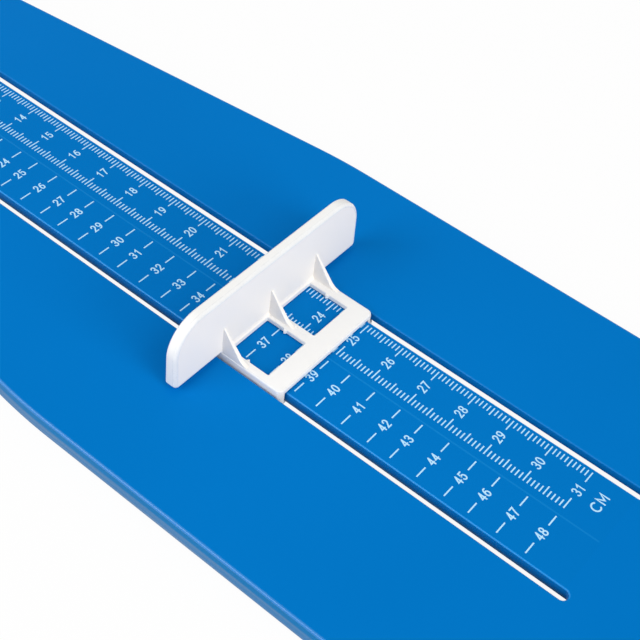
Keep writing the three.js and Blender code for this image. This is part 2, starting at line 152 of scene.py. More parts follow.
# Its legs, with barbed tabs that hold the keeper
SLIDE_GAP = 0.3
SIDE_GAP = 0.35
SEAT_GAP = 0.3
LEG = 1.7
LEG_CORNER = 1.4
LEG_INNER_CORNER = 0.3
LEG_EDGE = 0.15
LEG_WELD = 0.4
KEEPER_THICKNESS = 1.3
TAB_INSET = 2.6
TAB_LENGTH = 5
TAB_ROOT = 0.3
BARB_REACH = 0.7
BARB_HEIGHT = 0.65
BARB_LEAD = 0.2

# Faces that would coincide lie a hair apart, and a corner this small is left sharp
HAIR = 0.02
SHARP = 0.02

# Points nearer than a weld are one, and edges shorter than a sliver go, in metres
WELD = 2e-6
FUSED_WELD = 1.5e-6
SLIVER = 1e-6

# A mitred corner reaches out no further than it does where the cosine of half its turn is this
OUTLINE_MITRE = 0.2
PEN_MITRE = 0.45

TAPER_ANGLE = math.atan(TAPER_SLOPE)
CUP_SETBACK = CUP_INSET + CUP_WALL
HEEL_END = -POINTER_OFFSET - CUP_SETBACK
TOE_END = HEEL_END + BOARD_LENGTH
HEEL_RADIUS = (
    (BOARD_HALF_WIDTH - TAPER_SLOPE * (TAPER_START + POINTER_OFFSET + CUP_SETBACK))
    * math.cos(TAPER_ANGLE) / (1 - TAPER_SLOPE * math.cos(TAPER_ANGLE))
)
HEEL_CENTRE = HEEL_END + HEEL_RADIUS
SLOT_START = READING_MIN - POINTER_OFFSET - SLOT_END_GAP
SLOT_END = TOE_END - TOE_MARGIN
SLOT_CENTRE = STRIP_HALF + SLOT_WIDTH / 2
SLOT_RIB = STRIP_HALF + SLOT_WIDTH + SLOT_RIB_OFFSET
FOOT_TOP = FOOT_PROUD + FOOT_RECESS - SEAT_GAP
LEG_INNER = STRIP_HALF + SIDE_GAP
FRAME_HALF = LEG_INNER + LEG
SLIDER_BACK = READING_AT_REST - POINTER_OFFSET - SCALE_MIDDLE
SLIDER_FRONT = SLIDER_BACK + FRAME_LENGTH
FENCE_FRONT = SLIDER_BACK + FENCE_THICKNESS
FRAME_BOTTOM = BOARD_TOP + SLIDE_GAP
FRAME_TOP = FRAME_BOTTOM + FRAME_THICKNESS
KEEPER_TOP = BOARD_TOP - STRIP_THICKNESS - SLIDE_GAP
KEEPER_LOW = KEEPER_TOP - KEEPER_THICKNESS


def at_scale(reading):
    return reading - SCALE_MIDDLE


def half_width(reading):
    return BOARD_HALF_WIDTH - TAPER_SLOPE * max(0, TAPER_START - reading)


# Mesh helpers: a mesh is a list of points in millimetres and a list of faces
class Mesh:
    def __init__(self):
        self.points = []
        self.faces = []
        self.slots = []

    def add(self, points, faces, slot=0):
        start = len(self.points)
        self.points += [tuple(p) for p in points]
        self.faces += [tuple(i + start for i in face) for face in faces]
        self.slots += [slot] * len(faces)

    def rings(self, rings, slot=0):
        count = len(rings[0])
        points = [p for ring in rings for p in ring]
        faces = []
        for level in range(len(rings) - 1):
            for i in range(count):
                a = level * count + i
                b = level * count + (i + 1) % count
                faces.append((a, b, b + count, a + count))
        self.add(points, faces, slot)

    # Rings joined into a closed solid, with a flat cap at both ends
    def solid(self, rings, slot=0):
        self.rings(rings, slot)
        for ring in (rings[0], rings[-1]):
            self.cap(ring, slot)

    def cap(self, ring, slot=0):
        self.add(ring, [tuple(range(len(ring)))], slot)

    def lathe(self, profile, x, y, steps=64):
        turns = [2 * math.pi * i / steps for i in range(steps)]
        self.solid([[(x + r * math.cos(a), y + r * math.sin(a), z) for a in turns] for r, z in profile])

    def plate(self, loops, up=True):
        points = [p for loop in loops for p in loop]
        flat = [[Vector((p[0], p[1], 0)) for p in loop] for loop in loops]
        faces = []
        for tri in tessellate_polygon(flat):
            a, b, c = (Vector(points[i][:2]) for i in tri)
            area = (b - a).cross(c - a)
            if abs(area) < 1e-9:
                continue
            faces.append(tri if (area > 0) == up else tuple(reversed(tri)))
        self.add(points, faces)

    def box(self, x0, x1, y0, y1, z0, z1, slot=0):
        points = [(x, y, z) for x in (x0, x1) for y in (y0, y1) for z in (z0, z1)]
        faces = [(0, 1, 3, 2), (4, 6, 7, 5), (0, 4, 5, 1), (2, 3, 7, 6), (0, 2, 6, 4), (1, 5, 7, 3)]
        self.add(points, faces, slot)

    def build(self, name, materials):
        data = bpy.data.meshes.new(name)
        data.from_pydata([Vector(p) * MM for p in self.points], [], self.faces)
        data.polygons.foreach_set("material_index", self.slots)
        for material in materials:
            data.materials.append(material)
        obj = bpy.data.objects.new(name, data)
        bpy.context.scene.collection.objects.link(obj)
        bm = bmesh.new()
        bm.from_mesh(data)
        bmesh.ops.remove_doubles(bm, verts=bm.verts, dist=WELD)
        bmesh.ops.dissolve_degenerate(bm, edges=bm.edges, dist=SLIVER)
        bmesh.ops.recalc_face_normals(bm, faces=bm.faces)
        bm.to_mesh(data)
        bm.free()
        return obj


def bevel(obj, width, segments, angle, slot):
    made = obj.modifiers.new("soften", "BEVEL")
    made.width = width * MM
    made.segments = segments
    made.limit_method = "ANGLE"
    made.angle_limit = math.radians(angle)
    made.material = slot
    return obj


def bake(obj):
    bpy.context.view_layer.update()
    graph = bpy.context.evaluated_depsgraph_get()
    data = bpy.data.meshes.new_from_object(obj.evaluated_get(graph))
    obj.modifiers.clear()
    old = obj.data
    obj.data = data
    bpy.data.meshes.remove(old)
    return obj


# One closed skin from overlapping solids, or with solids cut out of it
def fuse(obj, others, operation="UNION"):
    for other in others:
        join = obj.modifiers.new("join", "BOOLEAN")
        join.operation = operation
        join.solver = "EXACT"
        join.use_self = True
        join.object = other
        bake(obj)
        bpy.data.objects.remove(other)
    bm = bmesh.new()
    bm.from_mesh(obj.data)
    bmesh.ops.remove_doubles(bm, verts=bm.verts, dist=FUSED_WELD)
    bmesh.ops.dissolve_degenerate(bm, edges=bm.edges, dist=SLIVER)
    bm.to_mesh(obj.data)
    bm.free()
    return obj


def smooth(obj, sharp=32):
    data = obj.data
    data.polygons.foreach_set("use_smooth", [True] * len(data.polygons))
    data.set_sharp_from_angle(angle=math.radians(sharp))
    weighted = obj.modifiers.new("weighted", "WEIGHTED_NORMAL")
    weighted.keep_sharp = True
    weighted.weight = 60
    return obj


def settle(obj, body):
    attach(obj, body)
    return obj


# A quarter round, as pairs of inset and drop
def arc(radius, steps):
    return [(radius * (1 - math.cos(a)), radius * (1 - math.sin(a)))
            for a in (math.pi / 2 * i / steps for i in range(steps + 1))]


def stadium(x0, x1, y, width, steps, grow):
    r = width / 2
    out = []
    for cx, start in ((x1 - r, -math.pi / 2), (x0 + r, math.pi / 2)):
        for i in range(steps + 1):
            a = start + math.pi * i / steps
            out.append((cx + (r + grow) * math.cos(a), y + (r + grow) * math.sin(a)))
    return out


def rounded_rectangle(x0, x1, y0, y1, radii, steps, inset=0.0):
    corners = (
        (x1, y0, -1, 1, radii[1], -90), (x1, y1, -1, -1, radii[2], 0),
        (x0, y1, 1, -1, radii[3], 90), (x0, y0, 1, 1, radii[0], 180),
    )
    out = []
    for x, y, sx, sy, r, start in corners:
        r = max(r, SHARP)
        reach = max(r - inset, 0.0)
        shift = max(inset - r, 0.0)
        for i in range(steps + 1):
            a = math.radians(start + 90 * i / steps)
            out.append((x + sx * (r + shift) + reach * math.cos(a),
                        y + sy * (r + shift) + reach * math.sin(a)))
    return out


def inset_outline(outline, inset):
    if inset == 0:
        return list(outline)
    count = len(outline)
    out = []
    for i, (x, y) in enumerate(outline):
        bx, by = outline[i - 1]
        ax, ay = outline[(i + 1) % count]
        before = Vector((x - bx, y - by)).normalized()
        after = Vector((ax - x, ay - y)).normalized()
        side = Vector((-before.y - after.y, before.x + after.x)).normalized()
        reach = inset / max(OUTLINE_MITRE, side.dot(Vector((-before.y, before.x))))
        out.append((x + side.x * reach, y + side.y * reach))
    return out


def lift(outline, z):
    return [(x, y, z) for x, y in outline]


def bezier(points, steps=8):
    out = []
    n = len(points) - 1
    for i in range(steps + 1):
        t = i / steps
        x = y = 0
        for k, (px, py) in enumerate(points):
            w = math.comb(n, k) * t ** k * (1 - t) ** (n - k)
            x += w * px
            y += w * py
        out.append((x, y))
    return out


# Materials: the fine grain's scale and its depth in metres, and the streaks of the painted reflection on the
# board's side, as noise squeezed in height
GRAIN_SCALE = 2600.0
GRAIN_DEPTH = 0.00004
STREAK_SCALE = (10.0, 10.0, 650.0)


def new_material(name):
    material = bpy.data.materials.new(name)
    material.use_nodes = True
    tree = material.node_tree
    shader = tree.nodes["Principled BSDF"]
    return material, tree, shader


def noise(tree, coordinates, scale, detail):
    made = tree.nodes.new("ShaderNodeTexNoise")
    made.inputs["Scale"].default_value = scale
    made.inputs["Detail"].default_value = detail
    tree.links.new(coordinates, made.inputs["Vector"])
    return made.outputs["Fac"]


def ramp(tree, source, low, high, from_low=0.3, from_high=0.7):
    made = tree.nodes.new("ShaderNodeMapRange")
    made.inputs["From Min"].default_value = from_low
    made.inputs["From Max"].default_value = from_high
    made.inputs["To Min"].default_value = low
    made.inputs["To Max"].default_value = high
    tree.links.new(source, made.inputs["Value"])
    return made.outputs["Result"]


def colour_mix(tree, factor, low, high):
    made = tree.nodes.new("ShaderNodeMix")
    made.data_type = "RGBA"
    made.inputs["A"].default_value = (*low, 1)
    made.inputs["B"].default_value = (*high, 1)
    tree.links.new(factor, made.inputs["Factor"])
    return made.outputs["Result"]


def bump(tree, shader, height, strength):
    made = tree.nodes.new("ShaderNodeBump")
    made.inputs["Strength"].default_value = strength
    made.inputs["Distance"].default_value = GRAIN_DEPTH
    tree.links.new(height, made.inputs["Height"])
    tree.links.new(made.outputs["Normal"], shader.inputs["Normal"])


def combine(tree, operation, a, b):
    made = tree.nodes.new("ShaderNodeMath")
    made.operation = operation
    tree.links.new(a, made.inputs[0])
    tree.links.new(b, made.inputs[1])
    return made.outputs[0]


def moulded_plastic(name, low, high, rough, specular, grain, mottle=14.0):
    material, tree, shader = new_material(name)
    coordinates = tree.nodes.new("ShaderNodeTexCoord").outputs["Object"]
    broad = noise(tree, coordinates, scale=mottle, detail=3.0)
    fine = noise(tree, coordinates, scale=GRAIN_SCALE, detail=2.0)
    tree.links.new(colour_mix(tree, ramp(tree, broad, 0, 1), low, high), shader.inputs["Base Color"])
    tree.links.new(ramp(tree, fine, rough - 0.03, rough + 0.05), shader.inputs["Roughness"])
    shader.inputs["Specular IOR Level"].default_value = specular
    bump(tree, shader, fine, grain)
    return material


# The side of the board: a darker blue than the top's, a painted shade, turning paler in streaks that run
# along it and grow towards the lower edge, a painted reflection of the floor, between two heights in metres
def scuffed_plastic(name, low, high, painted_reflection_colour, rough, specular, unreflected_above, reflecting_below):
    material, tree, shader = new_material(name)
    coordinates = tree.nodes.new("ShaderNodeTexCoord").outputs["Object"]
    broad = noise(tree, coordinates, scale=60.0, detail=3.0)
    stretch = tree.nodes.new("ShaderNodeMapping")
    stretch.inputs["Scale"].default_value = STREAK_SCALE
    tree.links.new(coordinates, stretch.inputs["Vector"])
    streaks = noise(tree, stretch.outputs["Vector"], scale=1.0, detail=4.0)
    split = tree.nodes.new("ShaderNodeSeparateXYZ")
    tree.links.new(coordinates, split.inputs[0])
    depth = ramp(tree, split.outputs["Z"], 0.0, 1.0, from_low=unreflected_above, from_high=reflecting_below)
    streaked = ramp(tree, streaks, 0.4, 1.15, from_low=0.4, from_high=0.6)
    painted_reflection = combine(tree, "MULTIPLY", depth, streaked)
    shaded_blue = colour_mix(tree, ramp(tree, broad, 0, 1), low, high)
    reflected_blue = tree.nodes.new("ShaderNodeMix")
    reflected_blue.data_type = "RGBA"
    reflected_blue.inputs["B"].default_value = (*painted_reflection_colour, 1)
    tree.links.new(shaded_blue, reflected_blue.inputs["A"])
    tree.links.new(painted_reflection, reflected_blue.inputs["Factor"])
    tree.links.new(reflected_blue.outputs["Result"], shader.inputs["Base Color"])
    dulled = ramp(tree, painted_reflection, rough, rough + 0.2, from_low=0.0, from_high=1.0)
    tree.links.new(dulled, shader.inputs["Roughness"])
    shader.inputs["Specular IOR Level"].default_value = specular
    bump(tree, shader, streaks, strength=0.08)
    return material


BLUE = moulded_plastic("blue_plastic", (0.0001, 0.170, 0.535), (0.0003, 0.178, 0.560),
                       rough=0.30, specular=0.015, grain=0.05)
BLUE_STRIP = moulded_plastic("blue_strip", (0.0001, 0.168, 0.524), (0.0004, 0.177, 0.552),
                             rough=0.34, specular=0.015, grain=0.06)
# The board's rounded top edge: glossier, with a lighter blue that is a painted highlight
BLUE_EDGE_PAINTED_HIGHLIGHT = moulded_plastic("blue_edge_painted_highlight", (0.002, 0.185, 0.555), (0.005, 0.20, 0.58),
                            rough=0.24, specular=0.5, grain=0.0)
# The board's side of the slot lips: a little glossier, with a slightly lighter blue that is a painted
# highlight
BLUE_LIP_PAINTED_HIGHLIGHT = moulded_plastic("blue_lip_painted_highlight", (0.001, 0.178, 0.548), (0.002, 0.188, 0.57),
                           rough=0.26, specular=0.14, grain=0.0)
# The strip's side of the slot lips: glossier, with a lighter blue that is a painted highlight
STRIP_LIP_PAINTED_HIGHLIGHT = moulded_plastic("strip_lip_painted_highlight", (0.003, 0.240, 0.680), (0.005, 0.255, 0.700),
                            rough=0.26, specular=0.30, grain=0.0)
# The board's side: a darker blue as painted shade, and a pale grey-blue low down as a painted reflection of
# the floor
BLUE_SIDE_PAINTED_SHADE_AND_REFLECTION = scuffed_plastic("blue_side_painted_shade_and_reflection", (0.001, 0.165, 0.43), (0.003, 0.178, 0.455), (0.14, 0.255, 0.435),
                            rough=0.26, specular=0.02, unreflected_above=0.0040, reflecting_below=0.0029)
WHITE = moulded_plastic("white_plastic", (0.882, 0.880, 0.874), (0.900, 0.898, 0.892),
                        rough=0.38, specular=0.2, grain=0.05)
# The slider's rounded edges: glossier, with a darker, cooler white that is painted shade against their
# brightness
WHITE_EDGE_PAINTED_SHADE = moulded_plastic("white_edge_painted_shade", (0.800, 0.808, 0.814), (0.842, 0.850, 0.856),
                             rough=0.28, specular=0.3, grain=0.02, mottle=160.0)
# The fence's front face, its ribs and the fillet: a warmer copy of the white, painted light that cancels the
# blue light the board bounces onto them
WHITE_FACE_PAINTED_LIGHT = moulded_plastic("white_face_painted_light", (0.915, 0.885, 0.850), (0.933, 0.903, 0.868),
                             rough=0.38, specular=0.2, grain=0.05)
RUBBER = moulded_plastic("foot_rubber", (0.035, 0.036, 0.039), (0.05, 0.051, 0.054),
                         rough=0.78, specular=0.3, grain=0.3, mottle=60.0)
INK = moulded_plastic("scale_ink", (0.45, 0.755, 0.985), (0.51, 0.80, 1.0),
                      rough=0.5, specular=0.1, grain=0.05, mottle=90.0)
INK_FAINT = moulded_plastic("scale_line", (0.0012, 0.194, 0.560), (0.0022, 0.205, 0.585),
                            rough=0.4, specular=0.06, grain=0.0)

# Materials by place: slot 0 is the plain surface, and the others have names
BLUES = [BLUE, BLUE_EDGE_PAINTED_HIGHLIGHT, BLUE_SIDE_PAINTED_SHADE_AND_REFLECTION, BLUE_LIP_PAINTED_HIGHLIGHT, STRIP_LIP_PAINTED_HIGHLIGHT]
WHITES = [WHITE, WHITE_EDGE_PAINTED_SHADE, WHITE_FACE_PAINTED_LIGHT]
EDGE = 1
SIDE = 2
LIP = 3
STRIP_EDGE = 4
FACE = 2


# Board: the counts of steps along its outline and its heel cup
CORNER_STEPS = 28
BLEND_STEPS = 10
HEEL_STEPS = 60
CUP_NOSE_STEPS = 10
CUP_SIDE_STEPS = 40
CUP_HEEL_STEPS = 80
CUP_FOOT_STEPS = 8
CUP_RIM_STEPS = 12


def board_outline():
    half = []
    for i in range(CORNER_STEPS + 1):
        a = math.pi / 2 * i / CORNER_STEPS
        half.append((TOE_END - TOE_CORNER + TOE_CORNER * math.cos(a),
                     BOARD_HALF_WIDTH - TOE_CORNER + TOE_CORNER * math.sin(a)))
    blend_start = TAPER_START + TAPER_BLEND * math.tan(TAPER_ANGLE / 2)
    for i in range(BLEND_STEPS + 1):
        a = TAPER_ANGLE * i / BLEND_STEPS
        half.append((blend_start - TAPER_BLEND * math.sin(a),
                     BOARD_HALF_WIDTH - TAPER_BLEND * (1 - math.cos(a))))
    for i in range(HEEL_STEPS):
        a = math.pi / 2 + TAPER_ANGLE + (math.pi / 2 - TAPER_ANGLE) * i / HEEL_STEPS
        half.append((HEEL_CENTRE + HEEL_RADIUS * math.cos(a), HEEL_RADIUS * math.sin(a)))
    far = [(at_scale(x), y) for x, y in half]
    near = [(at_scale(x), -y) for x, y in reversed(half)]
    return far + [(at_scale(HEEL_END), 0.0)] + near


def foot_places():
    inset = RIM_WALL + FOOT_WALL + FOOT_RADIUS + FOOT_MARGIN
    readings = (HEEL_CENTRE + HEEL_FOOT_OFFSET, (HEEL_CENTRE + TOE_END) / 2 + MIDDLE_FOOT_OFFSET,
                TOE_END - TOE_CORNER + TOE_FOOT_OFFSET)
    return [(at_scale(reading), side * (half_width(reading) - inset))
            for reading in readings for side in (-1, 1)]


def board_shell():
    mesh = Mesh()
    outline = board_outline()
    bottom = [(inset, FOOT_PROUD + drop) for inset, drop in reversed(arc(BOTTOM_EDGE, steps=4))]
    top = [(inset, BOARD_TOP - drop) for inset, drop in arc(TOP_EDGE, steps=8)]
    # The side takes a darker blue as painted shade and a painted reflection low down, and the rounded top
    # edge takes a lighter blue as a painted highlight
    mesh.rings([lift(inset_outline(outline, inset), z) for inset, z in bottom + top[:1]], SIDE)
    mesh.rings([lift(inset_outline(outline, inset), z) for inset, z in top], EDGE)
    plate_low = BOARD_TOP - PLATE
    slots = []
    for side in (-1, 1):
        def ring(grow, z, side=side):
            return lift(stadium(at_scale(SLOT_START), at_scale(SLOT_END), side * SLOT_CENTRE,
                                SLOT_WIDTH, steps=14, grow=grow), z)
        mesh.rings([ring(0, plate_low), ring(0, BOARD_TOP - SLOT_EDGE)])
        start = len(mesh.slots)
        # The rounded lips take lighter blues, painted highlights, stronger on the strip's side than on the
        # board's
        mesh.rings([ring(inset, BOARD_TOP - drop) for inset, drop in arc(SLOT_EDGE, steps=6)])
        for k in range(start, len(mesh.slots)):
            on_strip = abs(sum(mesh.points[i][1] for i in mesh.faces[k]) / 4) < SLOT_CENTRE
            mesh.slots[k] = STRIP_EDGE if on_strip else LIP
        slots.append((ring(SLOT_EDGE, BOARD_TOP), ring(0, plate_low)))
    inner = inset_outline(outline, RIM_WALL)
    mesh.plate([lift(inset_outline(outline, TOP_EDGE), BOARD_TOP)] + [mouth for mouth, low in slots])
    mesh.plate([lift(inner, plate_low)] + [low for mouth, low in slots], up=False)
    mesh.rings([lift(inner, plate_low), lift(inner, FOOT_PROUD)])
    mesh.rings([lift(inner, FOOT_PROUD), lift(inset_outline(outline, BOTTOM_EDGE), FOOT_PROUD)])
    return mesh.build("board_moulding", BLUES)


# Where ribs cross, their faces lie a hair apart, so that they join cleanly
def board_underside():
    ribs = Mesh()
    low = FOOT_PROUD + BOARD_RIB_RECESS
    high = BOARD_TOP - PLATE / 2
    ribs.box(at_scale(SLOT_START) - STRIP_RUN_OUT, at_scale(SLOT_END) + STRIP_RUN_OUT,
             -STRIP_HALF, STRIP_HALF, BOARD_TOP - STRIP_THICKNESS, BOARD_TOP - PLATE, SIDE)
    # The strip's walls take the board's side material, with its painted shade and painted reflection, and its
    # lower face is plain
    ribs.slots[-2:] = [0, 0]
    for side in (-1, 1):
        y0, y1 = sorted((side * SLOT_RIB, side * (SLOT_RIB + BOARD_RIB)))
        ribs.box(at_scale(HEEL_CENTRE + BOARD_RIB_LAP), at_scale(TOE_END - RIM_WALL / 2), y0, y1, low, high)
    length = TOE_END - RIM_WALL - HEEL_CENTRE
    count = max(2, round(length / CROSS_RIB_PITCH))
    low += HAIR
    high += HAIR
    for i in range(count):
        reading = HEEL_CENTRE + i * length / count
        x = at_scale(reading)
        half = half_width(reading) - BOARD_RIB_REACH
        if reading + BOARD_RIB < SLOT_START or reading - BOARD_RIB > SLOT_END:
            ribs.box(x, x + BOARD_RIB, -half, half, low, high)
        else:
            start = SLOT_RIB + BOARD_RIB_LAP
            ribs.box(x, x + BOARD_RIB, start, half, low, high)
            ribs.box(x, x + BOARD_RIB, -half, -start, low, high)
    boss = FOOT_RADIUS + FOOT_WALL
    profile = [(boss, high + HAIR), (boss, FOOT_PROUD + BOSS_EDGE), (boss - BOSS_EDGE, FOOT_PROUD)]
    for x, y in foot_places():
        ribs.lathe(profile, x, y)
    return ribs.build("board_underside", BLUES)


def foot_pockets():
    pockets = Mesh()
    pocket = FOOT_RADIUS + SEAT_GAP
    profile = [(pocket, FOOT_PROUD + FOOT_RECESS), (pocket, FOOT_PROUD + POCKET_EDGE),
               (pocket + POCKET_EDGE, FOOT_PROUD - CUTTER_LIP),
               (pocket + POCKET_EDGE, FOOT_PROUD - CUTTER_DEPTH)]
    for x, y in foot_places():
        pockets.lathe(profile, x, y)
    return pockets.build("board_pockets", BLUES)


# Wall sections of the heel cup, from one low end round the heel to the other
def cup_rings():
    radius = HEEL_RADIUS - CUP_SETBACK
    side_length = CUP_LENGTH - radius
    tangent = math.pi / 2 + TAPER_ANGLE
    centre = at_scale(HEEL_CENTRE)

    def on_side(side, distance):
        x = centre + radius * math.cos(tangent) + distance * math.cos(TAPER_ANGLE)
        y = side * (radius * math.sin(tangent) + distance * math.sin(TAPER_ANGLE))
        return x, y, -math.cos(tangent), -side * math.sin(tangent)

    def on_nose(side, i):
        return on_side(side, side_length + CUP_NOSE * i / CUP_NOSE_STEPS), i / CUP_NOSE_STEPS

    stations = [on_nose(1, i) for i in range(CUP_NOSE_STEPS, 0, -1)]
    stations += [(on_side(1, side_length * (1 - i / CUP_SIDE_STEPS)), 0) for i in range(CUP_SIDE_STEPS)]
    for i in range(CUP_HEEL_STEPS + 1):
        a = tangent + 2 * (math.pi - tangent) * i / CUP_HEEL_STEPS
        spot = (centre + radius * math.cos(a), radius * math.sin(a), -math.cos(a), -math.sin(a))
        stations.append((spot, 0))
    stations += [(on_side(-1, side_length * i / CUP_SIDE_STEPS), 0) for i in range(1, CUP_SIDE_STEPS + 1)]
    stations += [on_nose(-1, i) for i in range(1, CUP_NOSE_STEPS + 1)]
    front = at_scale(-POINTER_OFFSET + CUP_LENGTH)
    rings = []
    for (x, y, nx, ny), end in stations:
        fall = min(1, max(0, (front - x) / CUP_FALL))
        height = CUP_END_HEIGHT + (CUP_HEIGHT - CUP_END_HEIGHT) * fall * fall * (3 - 2 * fall)
        squash = 1.0
        if end:
            height = CUP_END_HEIGHT
            left = math.sqrt(1 - end * end)
            squash = ((CUP_ROOT - CUP_NOSE_SINK + (CUP_END_HEIGHT + CUP_NOSE_SINK) * left)
                      / (CUP_END_HEIGHT + CUP_ROOT))
        profile = [(-CUP_FOOT_RADIUS, -CUP_ROOT), (-CUP_FOOT_RADIUS, -CUP_FOOT_SINK)]
        for i in range(1, CUP_FOOT_STEPS + 1):
            a = math.pi / 2 * i / CUP_FOOT_STEPS
            profile.append((-CUP_FOOT_RADIUS * (1 - math.sin(a)), CUP_FOOT_RADIUS * (1 - math.cos(a))))
        rim = CUP_WALL / 2 - CUP_DRAFT * height / CUP_HEIGHT
        rise = min(CUP_RIM_RADIUS, rim)
        for i in range(CUP_RIM_STEPS + 1):
            a = math.pi - math.pi * i / CUP_RIM_STEPS
            profile.append((CUP_WALL / 2 + rim * math.cos(a), height - rise + rise * math.sin(a)))
        profile += [(CUP_WALL, 0), (CUP_WALL, -CUP_ROOT)]
        rings.append([(x - nx * out, y - ny * out, BOARD_TOP - CUP_ROOT + (z + CUP_ROOT) * squash)
                      for out, z in profile])
    return rings


def heel_cup():
    cup = Mesh()
    cup.solid(cup_rings())
    return cup.build("heel_cup_wall", BLUES)


def make_board():
    board = board_shell()
    underside = board_underside()
    pockets = foot_pockets()
    fuse(board, [underside, heel_cup()])
    fuse(board, [pockets], "DIFFERENCE")
    settle(smooth(board, sharp=34), "base")
    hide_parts("base_board")


make_board()

# Print: heights, tick ends by their step, and marks and figures across the strip, in millimetres
PRINT_LOW = BOARD_TOP - 0.04
PRINT_HIGH = BOARD_TOP + 0.02
LINE_HIGH = PRINT_HIGH - 0.005
SKIN_HIGH = PRINT_HIGH - 0.01
STROKE_STEP = 0.004
OUTER_TICK = 13.45
INNER_TICK = 1.6
TICK_ENDS = {10: (10.3, 4.8), 5: (11.15, 4.15), 1: (11.7, 3.4)}
OUTER_TICK_HALF = 0.14
INNER_TICK_HALF = 0.15
SIZES = range(18, 49)
SIZE_STEP = 20 / 3
TOE_ROOM = 10
SIZE_MARKS = ((-4.1, -1.1), (-12.8, -9.65))
SIZE_MARK_HALF = 0.16
CM_FIGURE = {"y": 7.6, "height": 2.4, "width": 1.28, "gap": 0.26, "pen": 0.32}
SIZE_FIGURE = {"y": -6.85, "height": 2.35, "width": 1.28, "gap": 0.26, "pen": 0.33}
LETTER = {"y": 7.7, "height": 2.55, "width": 2.2, "gap": 0.5, "pen": 0.36}
LETTERS_AT = 315.0
MIDDLE_LINE = (-0.66, -0.24)
LINE_MARGINS = (4, 2)
SKIN_MARGINS = (2, 1.5)
SKIN_SIDE_MARGIN = 0.55
ROUND_END = [math.radians(turn) for turn in (20, 40, 60, 80)]


def oval(cx, cy, rx, ry, a0, a1, steps):
    return [(cx + rx * math.cos(math.radians(a0 + (a1 - a0) * i / steps)),
             cy + ry * math.sin(math.radians(a0 + (a1 - a0) * i / steps))) for i in range(steps + 1)]


# Each figure is drawn as pen strokes in a box one wide and one high
FIGURES = {
    "0": [oval(0.5, 0.5, 0.5, 0.5, 0, 360, 28)],
    "1": [[(0.12, 0.76), (0.58, 1.0), (0.58, 0.0)]],
    "2": [oval(0.5, 0.7, 0.46, 0.30, 170, -20, 14) + [(0.02, 0.0), (1.0, 0.0)]],
    "3": [oval(0.46, 0.75, 0.44, 0.25, 160, -90, 14), oval(0.46, 0.26, 0.5, 0.26, 90, -160, 16)],
    "4": [[(0.74, 0.0), (0.74, 1.0)], [(0.74, 1.0), (0.0, 0.28), (1.0, 0.28)]],
    "5": [[(0.9, 1.0), (0.16, 1.0), (0.08, 0.52)] + oval(0.48, 0.32, 0.5, 0.32, 130, -155, 18)],
    "6": [oval(0.5, 0.31, 0.48, 0.31, 0, 360, 22),
          bezier([(0.03, 0.36), (0.1, 0.85), (0.5, 1.04), (0.88, 0.92)])],
    "7": [[(0.0, 1.0), (0.98, 1.0)] + bezier([(0.98, 1.0), (0.62, 0.6), (0.42, 0.3), (0.36, 0.0)])],
    "8": [oval(0.5, 0.75, 0.42, 0.25, 0, 360, 20), oval(0.5, 0.26, 0.5, 0.26, 0, 360, 22)],
    "9": [oval(0.5, 0.69, 0.48, 0.31, 0, 360, 22),
          bezier([(0.97, 0.64), (0.9, 0.15), (0.5, -0.04), (0.12, 0.08)])],
    "C": [oval(0.54, 0.5, 0.52, 0.5, 48, 312, 24)],
    "M": [[(0.0, 0.0), (0.0, 1.0), (0.5, 0.25), (1.0, 1.0), (1.0, 0.0)]],
}


# One pen stroke as a closed bar of ink with round ends, between two heights
def ribbon(mesh, path, pen, place, low, high):
    half = pen / 2
    line = []
    for spot in path:
        spot = Vector(place(*spot))
        if not line or (spot - line[-1]).length > 1e-4:
            line.append(spot)
    closed = (line[0] - line[-1]).length < 1e-3
    if closed:
        line.pop()
    count = len(line)
    pairs = []
    for i, spot in enumerate(line):
        before = spot - line[i - 1] if closed or i else line[1] - line[0]
        after = line[(i + 1) % count] - spot if closed or i < count - 1 else before
        before.normalize()
        after.normalize()
        normal = Vector((-before.y - after.y, before.x + after.x)).normalized()
        reach = half / max(PEN_MITRE, normal.dot(Vector((-before.y, before.x))))
        pairs.append((spot - normal * reach, spot + normal * reach))
    if closed:
        pairs.append(pairs[0])
    else:
        for end, toward in ((-1, -2), (0, 1)):
            way = (line[end] - line[toward]).normalized() * half
            across = Vector((-way.y, way.x)) * (1 if end else -1)
            cap = []
            for turn in ROUND_END:
                centre = line[end] + way * math.sin(turn)
                cap.append((centre - across * math.cos(turn), centre + across * math.cos(turn)))
            pairs = pairs + cap if end else cap[::-1] + pairs
    rings = [[(a.x, a.y, low), (b.x, b.y, low), (b.x, b.y, high), (a.x, a.y, high)] for a, b in pairs]
    if closed:
        mesh.rings(rings)
    else:
        mesh.solid(rings)


# Figures read across the board, with their heads towards the heel
def write(mesh, text, x, y, height, width, gap, pen):
    total = len(text) * width + (len(text) - 1) * gap
    for k, letter in enumerate(text):
        y0 = y - total / 2 + k * (width + gap) + pen / 2
        for i, stroke in enumerate(FIGURES[letter]):
            def place(u, v, y0=y0):
                return (x + (height - pen) * (0.5 - v), y0 + (width - pen) * u)
            ribbon(mesh, stroke, pen, place, PRINT_LOW - STROKE_STEP * i, PRINT_HIGH + STROKE_STEP * (i + 1))


# The reading of a shoe size: its inner length less the toe room, in whole millimetres
def size_reading(size):
    return math.floor(size * SIZE_STEP - TOE_ROOM + 1e-6)


